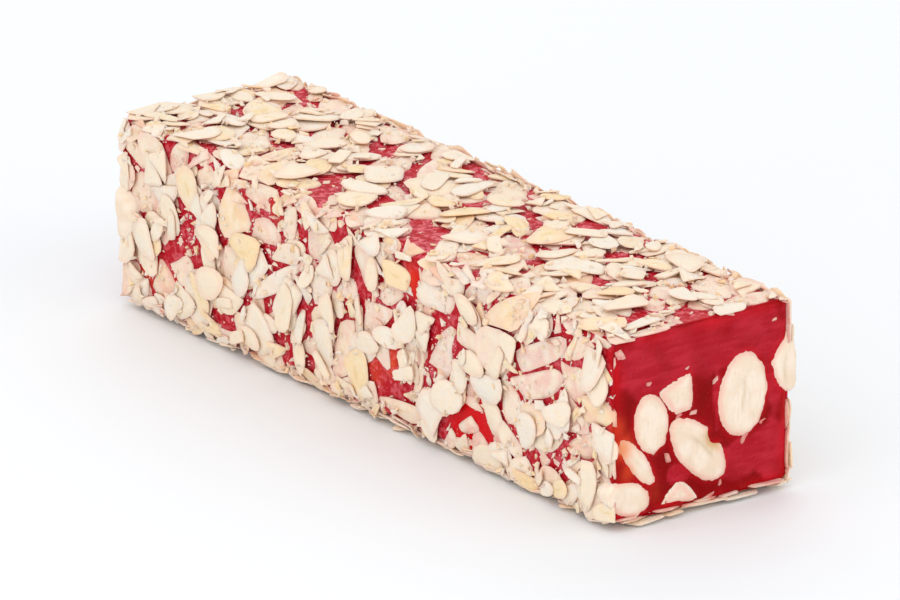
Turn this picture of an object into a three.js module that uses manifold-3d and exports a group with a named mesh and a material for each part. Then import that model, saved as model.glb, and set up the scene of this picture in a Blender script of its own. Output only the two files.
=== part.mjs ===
// A bar of Turkish delight, in millimetres with Z up.
// A block of red pomegranate jelly lies along X and is rolled in sliced hazelnuts, so a thin coat of
// slices wraps its four long faces. Both ends are cut with a knife and show the whole and broken
// hazelnuts that are set in the jelly. +X is the cut end that faces the viewer and -Y the long side.
import * as THREE from "three";
import { mergeVertices } from "three/addons/utils/BufferGeometryUtils.js";
import Module from "manifold-3d";

// ---- driving dimensions ----
const BAR_LENGTH = 121;
const JELLY_WIDTH = 31.6;
const JELLY_HEIGHT = 28;
const JELLY_CORNER = 1.8; // radius of the block's long edges
const COAT = 1.2; // from the jelly's skin to the outside of the nut coat
const FIT_GAP = 0.3; // between two pieces that touch
const SLICE_RELIEF = 0.5; // how far the coat's surface dips between slices
const SLUMP = 0.35; // how far the soft block's faces wander along its length
const SLUMP_WAVE = 57; // length of one slow wave along the block
const SLUMP_PHASE = [4.1, 2.2]; // how the wave shifts between the side faces and the top, in radians

// ---- sizes worked out from them ----
const HALF_LENGTH = BAR_LENGTH / 2;
const BAR_WIDTH = JELLY_WIDTH + 2 * COAT;
const BAR_HEIGHT = JELLY_HEIGHT + 2 * COAT;
const MIDDLE = BAR_HEIGHT / 2; // height of the block's centre line
const REACH = 4; // how far a cutting body runs past what it cuts

// ---- how finely the surfaces are drawn ----
const ALONG_COAT = 26;
const ALONG_JELLY = 16;
const SIDE_STEPS_COAT = 7;
const SIDE_STEPS_JELLY = 4;
const CORNER_STEPS = 2;
const NUT_MERIDIANS = 12;
const NUT_PARALLELS = 8;
const WINDOW_SIDES = 8;

const JELLY = new THREE.MeshStandardMaterial({ color: 0xa30b1c, roughness: 0.25, metalness: 0 });
const SLICED_NUT = new THREE.MeshStandardMaterial({ color: 0xe8d8b8, roughness: 0.7, metalness: 0 });
const CUT_NUT = new THREE.MeshStandardMaterial({ color: 0xf6ead2, roughness: 0.55, metalness: 0 });

const wasm = await Module();
wasm.setup();

// ---- solids and meshes ----

function solidFrom(geometry) {
  const bare = new THREE.BufferGeometry();
  bare.setAttribute("position", geometry.getAttribute("position"));
  bare.setIndex(geometry.index);
  const merged = mergeVertices(bare, 1e-4);
  return new wasm.Manifold(
    new wasm.Mesh({
      numProp: 3,
      vertProperties: merged.attributes.position.array,
      triVerts: new Uint32Array(merged.index.array),
    }),
  );
}

function meshFrom(name, solid, material) {
  const made = solid.getMesh();
  const geometry = new THREE.BufferGeometry();
  geometry.setAttribute("position", new THREE.BufferAttribute(made.vertProperties, 3));
  geometry.setIndex(new THREE.BufferAttribute(made.triVerts, 1));
  geometry.computeVertexNormals();
  const mesh = new THREE.Mesh(geometry, material);
  mesh.name = name;
  return mesh;
}

// A number from 0 to 1 that looks random but is the same for the same three whole numbers. Any
// large numbers that aren't multiples of each other do.
const SCATTER_STEPS = [127.1, 311.7, 74.7];
const SCATTER_SPREAD = 43758.5453;

function scatter(i, j, k) {
  const [stepI, stepJ, stepK] = SCATTER_STEPS;
  const wave = Math.sin(i * stepI + j * stepJ + k * stepK) * SCATTER_SPREAD;
  return wave - Math.floor(wave);
}

function between(low, high, share) {
  return low + (high - low) * share;
}

// ---- the block's section and its long skin ----

// Points round a rounded rectangle centred on the origin, anticlockwise seen from +X, each with the
// direction that its skin faces.
function sectionPoints(width, height, radius, sideSteps) {
  const points = [];
  const corners = [
    [1, 1, 0],
    [-1, 1, 1],
    [-1, -1, 2],
    [1, -1, 3],
  ];
  for (const [signY, signZ, quarter] of corners) {
    const centreY = signY * (width / 2 - radius);
    const centreZ = signZ * (height / 2 - radius);
    for (let step = 0; step <= CORNER_STEPS; step++) {
      const angle = ((quarter + step / CORNER_STEPS) * Math.PI) / 2;
      const facing = [Math.cos(angle), Math.sin(angle)];
      points.push({ y: centreY + radius * facing[0], z: centreZ + radius * facing[1], facing });
    }
    const straight = (quarter % 2 === 0 ? width : height) - 2 * radius;
    const last = points[points.length - 1];
    const along = [-last.facing[1], last.facing[0]];
    for (let step = 1; step < sideSteps; step++) {
      const run = (straight * step) / sideSteps;
      points.push({ y: last.y + run * along[0], z: last.z + run * along[1], facing: last.facing });
    }
  }
  return points;
}

function facesDown(facing) {
  return facing[1] < -0.5;
}

// How far the slumped skin sits inside the true block, by where it is and which way it faces.
function slumpAt(x, facing) {
  if (facesDown(facing)) {
    return 0;
  }
  const phase = facing[0] * SLUMP_PHASE[0] + facing[1] * SLUMP_PHASE[1];
  return (SLUMP * (1 - Math.cos((2 * Math.PI * x) / SLUMP_WAVE + phase))) / 2;
}

// A closed body whose section is the rounded rectangle, grown by `grow`, from one end to the other.
// dip(ring, place, facing) says how far each point sits below that skin.
function blockBody(grow, halfLength, alongSteps, sideSteps, dip) {
  const section = sectionPoints(
    JELLY_WIDTH + 2 * grow,
    JELLY_HEIGHT + 2 * grow,
    JELLY_CORNER + grow,
    sideSteps,
  );
  const count = section.length;
  const positions = [];
  for (let ring = 0; ring <= alongSteps; ring++) {
    const x = -halfLength + (2 * halfLength * ring) / alongSteps;
    section.forEach((point, place) => {
      const inset = slumpAt(x, point.facing) + dip(ring, place, point.facing);
      positions.push(x, point.y - inset * point.facing[0], MIDDLE + point.z - inset * point.facing[1]);
    });
  }
  const backCentre = positions.length / 3;
  positions.push(-halfLength, 0, MIDDLE, halfLength, 0, MIDDLE);
  const faces = [];
  for (let place = 0; place < count; place++) {
    const next = (place + 1) % count;
    for (let ring = 0; ring < alongSteps; ring++) {
      const low = ring * count;
      const high = low + count;
      faces.push(low + place, high + next, low + next, low + place, high + place, high + next);
    }
    faces.push(backCentre, place, next);
    faces.push(backCentre + 1, alongSteps * count + next, alongSteps * count + place);
  }
  const geometry = new THREE.BufferGeometry();
  geometry.setAttribute("position", new THREE.Float32BufferAttribute(positions, 3));
  geometry.setIndex(flipped(faces));
  return solidFrom(geometry);
}

function flipped(faces) {
  const turned = [];
  for (let i = 0; i < faces.length; i += 3) {
    turned.push(faces[i], faces[i + 2], faces[i + 1]);
  }
  return turned;
}

// The slices lie pressed flat where the bar rests, and shingled elsewhere.
function sliceDip(ring, place, facing) {
  return facesDown(facing) ? 0 : SLICE_RELIEF * scatter(ring, place, 3);
}

const noDip = () => 0;

// ---- hazelnuts that the two cuts go through ----

// Each row is a nut on a cut face: its middle (across and up, from the bar's foot), how far it
// reaches across, up and into the jelly, how it leans (degrees, anticlockwise as the cut is seen),
// and the flats where it is broken: each a direction in degrees and its distance from the middle.
const FRONT_NUTS = [
  { name: "big", y: 7.6, z: 16.3, reach: [4.3, 6.3, 5.6], lean: -5 },
  { name: "oval", y: -9.1, z: 15.2, reach: [3.0, 4.5, 4.6], lean: 8 },
  {
    name: "chip",
    y: -4.0,
    z: 18.7,
    reach: [3.4, 3.5, 3.2],
    lean: 0,
    flats: [[0, 2.1], [115, 1.9], [215, 2.1], [275, 2.5]],
  },
  { name: "bean", y: -0.6, z: 9.6, reach: [3.1, 6.6, 5.0], lean: 42, notch: [3.5, -1.0, 1.6] },
  { name: "crescent", y: -11.8, z: 10.1, reach: [1.6, 5.0, 3.6], lean: 37 },
  { name: "corner", y: -13.1, z: 4.8, reach: [2.5, 3.8, 6.5], lean: 65 },
  {
    name: "wedge",
    y: -4.1,
    z: 3.4,
    reach: [2.9, 2.6, 4.0],
    lean: 0,
    flats: [[270, 1.0], [45, 1.15], [130, 0.85]],
  },
  { name: "rim", y: 15.4, z: 19.7, reach: [2.6, 4.8, 5.4], lean: 8, flats: [[0, 1.6], [135, 2.4]] },
];
const BACK_NUTS = [
  { name: "round", y: -5.4, z: 19.0, reach: [5.6, 5.4, 5.5], lean: 0 },
  { name: "half", y: 8.4, z: 20.8, reach: [4.4, 4.9, 4.8], lean: 24, flats: [[300, 1.4]] },
  { name: "bean", y: 5.2, z: 9.6, reach: [3.0, 6.0, 5.2], lean: -52, notch: [3.5, -0.4, 1.7] },
  { name: "oval", y: -9.6, z: 8.0, reach: [3.2, 4.6, 5.0], lean: 18 },
  { name: "chip", y: 0.9, z: 24.6, reach: [2.2, 1.9, 3.0], lean: 0, flats: [[200, 1.0]] },
  { name: "rim", y: -15.2, z: 14.6, reach: [2.5, 4.2, 4.8], lean: -6, flats: [[180, 1.6], [40, 2.2]] },
];
const NUT_TIP = 0.1; // share by which a kernel narrows to its tip
const NOTCH_DEPTH = 2; // how much further a notch runs into the nut than it is wide

// A kernel with its middle on the cut, grown by `grow`, before the knife takes its outer half away.
function kernelBody(nut, grow) {
  const kernel = new THREE.SphereGeometry(1, NUT_MERIDIANS, NUT_PARALLELS);
  const place = kernel.getAttribute("position");
  const [across, up, deep] = nut.reach;
  for (let i = 0; i < place.count; i++) {
    // The sphere's own Y axis becomes the kernel's long axis, and its Z axis goes into the jelly.
    const rise = place.getY(i);
    const wide = (1 - NUT_TIP * Math.max(0, rise)) * (across + grow);
    place.setXYZ(i, place.getZ(i) * (deep + grow), place.getX(i) * wide, rise * (up + grow));
  }
  let body = solidFrom(kernel);
  for (const [degrees, distance] of nut.flats ?? []) {
    const angle = THREE.MathUtils.degToRad(degrees);
    body = body.trimByPlane([0, -Math.cos(angle), -Math.sin(angle)], -(distance + grow));
  }
  if (nut.notch) {
    const [notchY, notchZ, radius] = nut.notch;
    const bite = new THREE.SphereGeometry(radius - grow, NUT_MERIDIANS, NUT_PARALLELS);
    bite.scale(NOTCH_DEPTH, 1, 1);
    bite.translate(0, notchY, notchZ);
    body = body.subtract(solidFrom(bite));
  }
  return body;
}

// A nut and its socket stand on the front cut, or turned round on the back one.
function nutOnCut(nut, end, grow) {
  const body = kernelBody(nut, grow).rotate([nut.lean * end, 0, 0]);
  return body.translate([end * HALF_LENGTH, nut.y, nut.z]);
}

// The knife takes what stands past the cut, and no nut stands out of the coat.
function cutNut(nut, end) {
  const onCut = nutOnCut(nut, end, 0).trimByPlane([-end, 0, 0], -HALF_LENGTH);
  return onCut.trimByPlane([0, 1, 0], -BAR_WIDTH / 2).trimByPlane([0, -1, 0], -BAR_WIDTH / 2);
}

// ---- places where the coat leaves the jelly bare ----

// Each row is a bare place on a face: along the bar, across the face, its length, its width and its
// lean in degrees. Across is Y on the top face and height on the long sides.
const BARE_TOP = [
  [8.5, -11.6, 19, 6.2, -38],
  [-16.8, -10.2, 17, 4, -50],
  [12.5, 5.6, 10, 3.8, -28],
  [20, 10.8, 8.6, 4.2, -30],
  [-13.6, 2.6, 12, 2.6, -42],
  [-9.5, 12, 9, 2.8, -25],
  [32.3, 5.6, 6, 3, -60],
  [42, 5, 6.4, 2.6, -58],
  [2, 2.2, 7, 3, -35],
  [58.6, 0.6, 7, 7, -20],
  [54.4, -8.2, 8.5, 3, -65],
  [39, -3, 6, 2.6, -38],
  [25, -14.4, 8, 2.6, -20],
  [-52, -0.6, 7, 3.6, -35],
  [-41.5, -13, 8.6, 2.6, -25],
  [-29, 0.6, 6, 2.6, -55],
  [-6.8, -8, 6.4, 2.6, -40],
  [-24.3, 7.4, 6, 2.4, -38],
  [25, 2.3, 7, 2.4, -50],
  [-53.6, 12.6, 8.6, 2.2, -35],
];
const BARE_SHOWN_SIDE = [
  [25.6, 6.4, 16.5, 6.4, 4],
  [6.6, 9.6, 11.5, 5.6, 48],
  [-6, 26.2, 6.6, 5.2, -30],
  [12.1, 23.6, 7.5, 3.2, 78],
  [-13.6, 12, 9, 3.4, -30],
  [-34, 6, 8.5, 3.6, 4],
  [-48.8, 12.8, 3.6, 4.8, -20],
  [-53.4, 7.6, 2.4, 5.4, -10],
  [27.5, 13.8, 4.6, 3.6, -50],
  [32, 21.8, 4.8, 3, 40],
  [22.6, 23.8, 4.4, 2.8, 50],
  [-18, 5, 5, 3, 20],
  [-1, 5.6, 10, 2.4, 16],
  [48, 26.6, 2.6, 5, -20],
  [46, 12.2, 5.4, 2.4, 25],
  [39.6, 5.4, 3, 4.2, -30],
  [58.4, 7, 2.6, 5.4, 15],
  [-39.7, 11.8, 2.6, 3.6, -30],
  [-14.6, 24, 2.4, 5, 0],
  [1, 19.5, 2.6, 3.6, 0],
];
const HIDDEN_BARE_PLACES = 11; // on the far side, and on the underside
const HIDDEN_BARE_LENGTH = [5, 11];
const HIDDEN_BARE_WIDTH = [3.2, 5.8];
const HIDDEN_BARE_EDGE = 5; // how far they stay from the long edges
const UNDERSIDE_KEPT = 12; // the underside is whole within this distance of the middle

// Bare places for a face that is out of sight, spread evenly along it with a random wander.
function hiddenBarePlaces(low, high, seed) {
  return Array.from({ length: HIDDEN_BARE_PLACES }, (_, k) => {
    const step = k + between(0.25, 0.75, scatter(k, seed, 1));
    const x = BAR_LENGTH * (step / HIDDEN_BARE_PLACES - 0.5);
    const across = between(low, high, scatter(k, seed, 2));
    const long = between(...HIDDEN_BARE_LENGTH, scatter(k, seed, 4));
    const wide = between(...HIDDEN_BARE_WIDTH, scatter(k, seed, 5));
    return [x, across, long, wide, between(-45, 45, scatter(k, seed, 6))];
  });
}

const RAGGED = [0.78, 1.18]; // share of its reach that each corner of a bare place has

// A ragged-edged plug, standing on Z, that takes a bare place out of the coat.
function barePlug(long, wide, seed) {
  const outline = new THREE.Shape();
  for (let side = 0; side < WINDOW_SIDES; side++) {
    const angle = (2 * Math.PI * side) / WINDOW_SIDES;
    const ragged = between(...RAGGED, scatter(side, seed, 7));
    const x = 0.5 * long * ragged * Math.cos(angle);
    const y = 0.5 * wide * ragged * Math.sin(angle);
    if (side === 0) {
      outline.moveTo(x, y);
    } else {
      outline.lineTo(x, y);
    }
  }
  const plug = new THREE.ExtrudeGeometry(outline, { depth: 2 * REACH, bevelEnabled: false });
  return plug.translate(0, 0, -REACH);
}

function bareCutter(face, [x, across, long, wide, lean], seed) {
  const plug = barePlug(long, wide, seed);
  plug.rotateZ(THREE.MathUtils.degToRad(lean));
  if (face === "top" || face === "bottom") {
    plug.translate(x, across, face === "top" ? BAR_HEIGHT : 0);
  } else {
    plug.rotateX(Math.PI / 2);
    plug.translate(x, face === "shown" ? -BAR_WIDTH / 2 : BAR_WIDTH / 2, across);
  }
  return solidFrom(plug);
}

function bareCutters() {
  const edge = HIDDEN_BARE_EDGE;
  const faces = {
    top: BARE_TOP,
    shown: BARE_SHOWN_SIDE,
    far: hiddenBarePlaces(edge, BAR_HEIGHT - edge, 1),
    bottom: hiddenBarePlaces(edge - BAR_WIDTH / 2, BAR_WIDTH / 2 - edge, 2).filter(
      ([x]) => Math.abs(x) > UNDERSIDE_KEPT,
    ),
  };
  return Object.entries(faces).flatMap(([face, places]) =>
    places.map((place, k) => bareCutter(face, place, k)),
  );
}

// ---- the bar ----

const bar = new THREE.Group();
const ends = [
  { label: "front", end: 1, nuts: FRONT_NUTS },
  { label: "back", end: -1, nuts: BACK_NUTS },
];
let jelly = blockBody(0, HALF_LENGTH, ALONG_JELLY, SIDE_STEPS_JELLY, noDip);
let coat = blockBody(COAT, HALF_LENGTH, ALONG_COAT, SIDE_STEPS_COAT, sliceDip);
coat = coat.subtract(blockBody(FIT_GAP, HALF_LENGTH + REACH, ALONG_JELLY, SIDE_STEPS_JELLY, noDip));
for (const cutter of bareCutters()) {
  coat = coat.subtract(cutter);
}
for (const { label, end, nuts } of ends) {
  for (const nut of nuts) {
    const socket = nutOnCut(nut, end, FIT_GAP);
    jelly = jelly.subtract(socket);
    coat = coat.subtract(socket);
    bar.add(meshFrom(label + "_nut_" + nut.name, cutNut(nut, end), CUT_NUT));
  }
}
bar.add(meshFrom("jelly_block", jelly, JELLY));
bar.add(meshFrom("slice_coat", coat, SLICED_NUT));

export default bar;
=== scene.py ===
"""A bar of Turkish delight: red jelly rolled in sliced hazelnuts and cut with a knife at both ends.

The frame gives the block, the coat with its bare places and the nuts that the cuts go through.
Here the jelly gets its soft skin, the coat is laid slice by slice until each slice rests on those
below it, and crumbs and starch fall into what is left. Lengths are millimetres unless a name or a
call to Blender says otherwise; MM turns them into metres.
"""
import math
from collections import namedtuple
from contextlib import contextmanager

import bmesh
import bpy
import numpy as np
from mathutils import Matrix, Vector
from mathutils import noise as wander
from mathutils.bvhtree import BVHTree


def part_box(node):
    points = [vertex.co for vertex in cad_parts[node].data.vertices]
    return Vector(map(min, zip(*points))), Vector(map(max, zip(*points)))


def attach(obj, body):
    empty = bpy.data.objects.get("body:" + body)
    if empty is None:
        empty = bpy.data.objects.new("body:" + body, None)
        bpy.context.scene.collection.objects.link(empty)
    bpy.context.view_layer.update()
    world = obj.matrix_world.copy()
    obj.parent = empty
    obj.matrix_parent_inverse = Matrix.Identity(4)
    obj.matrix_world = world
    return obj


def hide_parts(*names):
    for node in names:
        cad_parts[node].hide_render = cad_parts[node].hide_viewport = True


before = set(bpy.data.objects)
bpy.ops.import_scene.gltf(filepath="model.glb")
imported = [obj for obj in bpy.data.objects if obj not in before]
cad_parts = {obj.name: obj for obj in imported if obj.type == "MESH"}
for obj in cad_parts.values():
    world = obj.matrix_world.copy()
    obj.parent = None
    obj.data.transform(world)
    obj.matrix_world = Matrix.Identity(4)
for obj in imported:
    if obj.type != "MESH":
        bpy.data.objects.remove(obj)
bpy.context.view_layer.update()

MM = 0.001
FULL_TURN = 2 * math.pi

# ---- what the frame says ----
JELLY_LOW, JELLY_HIGH = (np.array(corner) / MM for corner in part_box("jelly_block"))
JELLY_MIDDLE = (JELLY_LOW + JELLY_HIGH) / 2
JELLY_HALF = (JELLY_HIGH - JELLY_LOW) / 2
COAT_DEPTH = JELLY_LOW[2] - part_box("slice_coat")[0][2] / MM
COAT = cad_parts["slice_coat"].data
COAT_TREE = BVHTree.FromPolygons([v.co for v in COAT.vertices], [p.vertices for p in COAT.polygons])
EDGE_RADIUS = 1.8  # of the block's long edges
CUT = JELLY_HALF[0]  # the knife's cuts are this far from the middle


# ---- Blender objects ----

def new_object(name, vertices, faces, material=None):
    """A mesh object from millimetre points."""
    mesh = bpy.data.meshes.new(name)
    mesh.from_pydata((np.asarray(vertices, float) * MM).tolist(), [], faces)
    mesh.update()
    if material:
        mesh.materials.append(material)
    return bpy.data.objects.new(name, mesh)


def grid_faces(rows, columns, closed=False):
    """Faces over points numbered row by row. A closed grid joins its last column to its first."""
    return [(row * columns + here, (row + 1) * columns + here,
             (row + 1) * columns + (here + 1) % columns, row * columns + (here + 1) % columns)
            for row in range(rows - 1) for here in range(columns if closed else columns - 1)]


def link(thing):
    bpy.context.scene.collection.objects.link(thing)
    return thing


@contextmanager
def edited(mesh):
    """A mesh as a body that can be worked on, written back at the end."""
    body = bmesh.new()
    body.from_mesh(mesh)
    yield body
    body.to_mesh(mesh)
    body.free()


def make_plain(thing):
    """Turns what an object's modifiers make of it into its own mesh."""
    state = bpy.context.evaluated_depsgraph_get()
    mesh = bpy.data.meshes.new_from_object(thing.evaluated_get(state), preserve_all_data_layers=True,
                                           depsgraph=state)
    thing.modifiers.clear()
    thing.data = mesh
    mesh.name = thing.name


def vertex_rows(thing, field):
    """A vector of each vertex of a mesh object, one row each."""
    flat = np.zeros(3 * len(thing.data.vertices), np.float32)
    thing.data.vertices.foreach_get(field, flat)
    return flat.reshape(-1, 3)


def points_of(thing):
    return vertex_rows(thing, "co").astype(float) / MM


def paint(thing, **layers):
    """Stores one number, one whole number or one vector for each vertex under each name."""
    for name, values in layers.items():
        values = np.asarray(values)
        whole_number, vector = values.dtype.kind == "i", values.ndim == 2
        kind = "FLOAT_VECTOR" if vector else "INT" if whole_number else "FLOAT"
        attribute = thing.data.attributes.new(name, kind, "POINT")
        form = np.int32 if kind == "INT" else np.float32
        attribute.data.foreach_set("vector" if vector else "value", values.astype(form).ravel())


# ---- measures ----

def ripple(points, size, seed=0, octaves=1):
    """Smooth noise from -1 to 1 at millimetre points, with bumps about `size` across."""
    offset = Vector((seed * 17.3, seed * 5.7, seed * 11.1))
    total = np.zeros(len(points))
    for octave in range(octaves):
        scale = 2 ** octave / size
        total += [wander.noise(Vector(p) * scale + offset) / 2 ** octave for p in points]
    return total


def smooth_step(values, low, high):
    share = np.clip((np.asarray(values, float) - low) / (high - low), 0, 1)
    return share * share * (3 - 2 * share)


def unit(vectors):
    return vectors / np.maximum(np.linalg.norm(vectors, axis=1), 1e-9)[:, None]


def above_jelly(places):
    """How far each place stands out from the jelly's long faces and its rounded long edges."""
    past = (np.abs(places - JELLY_MIDDLE) - JELLY_HALF)[:, 1:] + EDGE_RADIUS
    return np.linalg.norm(np.maximum(past, 0), axis=1) + np.minimum(past.max(1), 0) - EDGE_RADIUS


# ---- finishes ----

class Nodes:
    """A node tree under construction."""

    def __init__(self, tree):
        self.tree = tree

    def feed(self, socket, source):
        """Gives a socket a value, or links it to another node's output."""
        if isinstance(source, bpy.types.NodeSocket):
            self.tree.links.new(source, socket)
        else:
            socket.default_value = (*source, 1) if socket.type == "RGBA" else source

    def add(self, kind, inputs=(), **settings):
        """The outputs of a new node. Its inputs go by name, or by number where names are shared."""
        node = self.tree.nodes.new(kind)
        for name, value in settings.items():
            setattr(node, name, value)
        for name, source in dict(inputs).items():
            self.feed(node.inputs[name], source)
        return node.outputs


class Finish(Nodes):
    """A material made of a Principled surface and a few kinds of pattern on Object coordinates."""

    def __init__(self, name, **surface):
        self.material = bpy.data.materials.new(name)
        self.material.use_nodes = True
        super().__init__(self.material.node_tree)
        self.surface = self.tree.nodes["Principled BSDF"].inputs
        for socket, value in surface.items():
            self.surface[socket.replace("_", " ")].default_value = value
        self.place = self.add("ShaderNodeTexCoord")["Object"]

    def painted(self, name, output="Fac"):
        return self.add("ShaderNodeAttribute", attribute_name=name)[output]

    def stretched(self, place, scale):
        return self.add("ShaderNodeMapping", {"Vector": place, "Scale": scale})["Vector"]

    def clouds(self, size, detail=2.0, warp=0.0, place=None):
        """Noise from 0 to 1 with features about `size` millimetres across."""
        return self.add("ShaderNodeTexNoise", {"Vector": place or self.place, "Scale": 1 / (size * MM),
                                               "Detail": detail, "Distortion": warp})["Fac"]

    def cells(self, size):
        """Distance to the nearest of points about `size` millimetres apart, 0 at the point."""
        inputs = {"Vector": self.place, "Scale": 1 / (size * MM)}
        return self.add("ShaderNodeTexVoronoi", inputs)["Distance"]

    def reach(self, place, scale):
        """Distance from the middle of a pattern's own place, stretched along its axes."""
        stretched = self.stretched(place, scale)
        return self.add("ShaderNodeVectorMath", {0: stretched}, operation="LENGTH")["Value"]

    def ramp(self, value, low, high, out_low=0.0, out_high=1.0):
        return self.add("ShaderNodeMapRange", {
            "Value": value, "From Min": low, "From Max": high, "To Min": out_low, "To Max": out_high,
        }, interpolation_type="SMOOTHSTEP")["Result"]

    def sum(self, a, b, how="ADD"):
        return self.add("ShaderNodeMath", {0: a, 1: b}, operation=how)["Value"]

    def times(self, a, b):
        return self.sum(a, b, "MULTIPLY")

    def mix(self, share, a, b):
        return self.add("ShaderNodeMix", {"Factor": share, 6: a, 7: b}, data_type="RGBA")[2]

    def layered(self, colour, *coats):
        """A colour under others, each with the share of it that shows."""
        for share, coat in coats:
            colour = self.mix(share, colour, coat)
        return colour

    def dressed(self, colour, roughness=None, height=None, depth=0.0):
        """The finished material, with bump `depth` millimetres deep where `height` goes from 0 to 1."""
        self.feed(self.surface["Base Color"], colour)
        if roughness:
            self.feed(self.surface["Roughness"], roughness)
        if height:
            bump = self.add("ShaderNodeBump", {"Distance": depth * MM, "Height": height})["Normal"]
            self.feed(self.surface["Normal"], bump)
        return self.material


def hue(red, green, blue):
    """A colour as it looks on screen, 0 to 255, as the linear light that Blender works in."""
    shares = np.array([red, green, blue]) / 255
    return tuple(np.where(shares > 0.04045, ((shares + 0.055) / 1.055) ** 2.4, shares / 12.92).tolist())


def jelly_finish():
    """Deep red and glossy on the cuts, with a lighter film there that is partly a painted sheen, dulled by
    starch on the long faces, with a painted orange glow over a nut.
    """
    finish = Finish("pomegranate_jelly", Subsurface_Weight=0.5, Subsurface_Scale=1.2 * MM,
                    Subsurface_Radius=(1.0, 0.14, 0.12), Specular_IOR_Level=0.07)
    clouds, ramp, painted, times = finish.clouds, finish.ramp, finish.painted, finish.times
    fine = clouds(0.6, detail=4)
    streaks = clouds(1.4, detail=4, place=finish.stretched(finish.place, (1, 0.25, 1.3)))
    # the film's streaked crimson: a dragged starch film and a painted sheen, lighter where the cut would
    # reflect the bright room
    dragged = finish.mix(ramp(streaks, 0.38, 0.62), hue(176, 24, 40), hue(190, 38, 54))
    powder = times(ramp(clouds(0.9, detail=5, warp=0.5), 0.44, 0.66), 0.55)
    specks = times(ramp(finish.cells(0.42), 0.26, 0.12), 0.3)
    glow, dust = painted("glow"), painted("dust")
    colour = finish.layered(
        hue(133, 0, 2),
        (ramp(clouds(8, detail=3), 0.36, 0.66), hue(150, 1, 8)),
        (painted("skin"), hue(178, 11, 29)),
        (painted("wet"), hue(206, 8, 18)),
        (painted("film"), dragged),
        # painted light: brighter red where light comes through thin jelly, at the cut's edges and beside
        # its nuts
        (painted("thin"), hue(208, 18, 30)),
        # painted glow: orange, pale at its strongest, where light through the jelly shows a buried kernel
        (glow, hue(224, 76, 36)),
        (ramp(glow, 0.72, 1.0, 0, 0.7), hue(248, 186, 136)),
        (times(dust, finish.sum(powder, specks)), hue(246, 138, 148)))
    rough = finish.sum(times(dust, 0.25), ramp(fine, 0.3, 0.7, 0.16, 0.3))
    return finish.dressed(colour, rough, finish.sum(times(fine, 0.5), clouds(1.5, detail=3)), 0.1)


def sliced_nut_finish():
    """Greyish white to cream to yellow by slice; painted warm shade at the rims, and red where it lies on
    the jelly, partly stain and partly painted red bounce light.
    """
    finish = Finish("flaked_hazelnut", Subsurface_Weight=0.4, Subsurface_Scale=0.7 * MM,
                    Subsurface_Radius=(1.0, 0.76, 0.52), Specular_IOR_Level=0.22)
    clouds, ramp, painted, times = finish.clouds, finish.ramp, finish.painted, finish.times
    kernel = painted("kernel", "Vector")
    patches, fine = clouds(2.2, detail=4), clouds(0.3, detail=4)
    tone = finish.sum(painted("tone"), ramp(clouds(1.4, detail=3), 0.3, 0.7, -0.16, 0.16))
    mottled = ramp(clouds(0.7, detail=4, warp=0.6), 0.5, 0.7, 0, 0.3)
    hollow = ramp(finish.reach(kernel, (1.4, 2.8, 0)), 0.3 * MM, 0.1 * MM)
    streak = clouds(0.16, detail=3, place=finish.stretched(kernel, (0.25, 1.6, 1)))
    colour = finish.layered(
        hue(244, 230, 214),
        (ramp(tone, 0.0, 0.5), hue(248, 225, 200)),
        (ramp(tone, 0.5, 1.0), hue(251, 215, 166)),
        (ramp(clouds(9), 0.35, 0.65, 0, 0.3), hue(234, 220, 198)),
        (mottled, hue(246, 234, 214)),
        # painted warm shade: red-tinted light bounced between slices, painted on their edges
        (ramp(painted("rim"), 0.86, 1.0, 0, 0.34), hue(242, 192, 172)),
        (times(hollow, ramp(painted("tone"), 0.5, 0.7, 0, 0.5)), hue(232, 198, 140)),
        (ramp(streak, 0.52, 0.72, 0, 0.18), hue(230, 206, 168)),
        (times(painted("stain"), ramp(patches, 0.38, 0.66, 0.08, 0.62)), hue(238, 176, 164)),
        # red at a slice's foot: partly stain from the jelly, partly painted red bounce light in the gaps
        # between slices
        (times(painted("soaked"), ramp(patches, 0.3, 0.7, 0.35, 0.85)), hue(220, 112, 108)))
    height = finish.sum(finish.sum(fine, streak), mottled)
    return finish.dressed(colour, ramp(fine, 0.3, 0.7, 0.5, 0.72), height, 0.09)


def cut_nut_finish():
    """The pale smooth face of a kernel under the knife: faint lines and a thin pinker rim."""
    finish = Finish("knife_cut_hazelnut", Subsurface_Weight=0.25, Subsurface_Scale=0.8 * MM,
                    Subsurface_Radius=(1.0, 0.62, 0.42), Specular_IOR_Level=0.3)
    clouds, ramp, painted, times = finish.clouds, finish.ramp, finish.painted, finish.times
    lines = clouds(0.6, detail=4, place=finish.stretched(finish.place, (1, 1.8, 0.25)))
    fine = clouds(0.3, detail=4)
    colour = finish.layered(
        hue(245, 228, 209),
        (ramp(clouds(2.6, detail=3), 0.38, 0.64), hue(239, 217, 193)),
        (ramp(lines, 0.54, 0.70, 0, 0.5), hue(224, 206, 178)),
        (ramp(finish.cells(0.9), 0.22, 0.1, 0, 0.35), hue(222, 200, 166)),
        (times(painted("seam"), 0.6), hue(206, 184, 148)),
        (times(painted("rim"), 0.6), hue(242, 178, 160)),
        (times(painted("hollow"), 0.7), hue(206, 164, 96)),
        # painted glow of light through the jelly from a kernel buried next to this face
        (painted("glow"), hue(236, 140, 84)))
    return finish.dressed(colour, ramp(fine, 0.3, 0.7, 0.42, 0.6), finish.sum(fine, lines), 0.06)


def starch_finish():
    finish = Finish("starch", Specular_IOR_Level=0.3)
    pink = finish.ramp(finish.clouds(0.4), 0.35, 0.65)
    colour = finish.mix(pink, hue(250, 240, 232), hue(238, 205, 196))
    return finish.dressed(colour, finish.ramp(finish.clouds(0.2), 0.3, 0.7, 0.6, 0.85))
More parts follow.
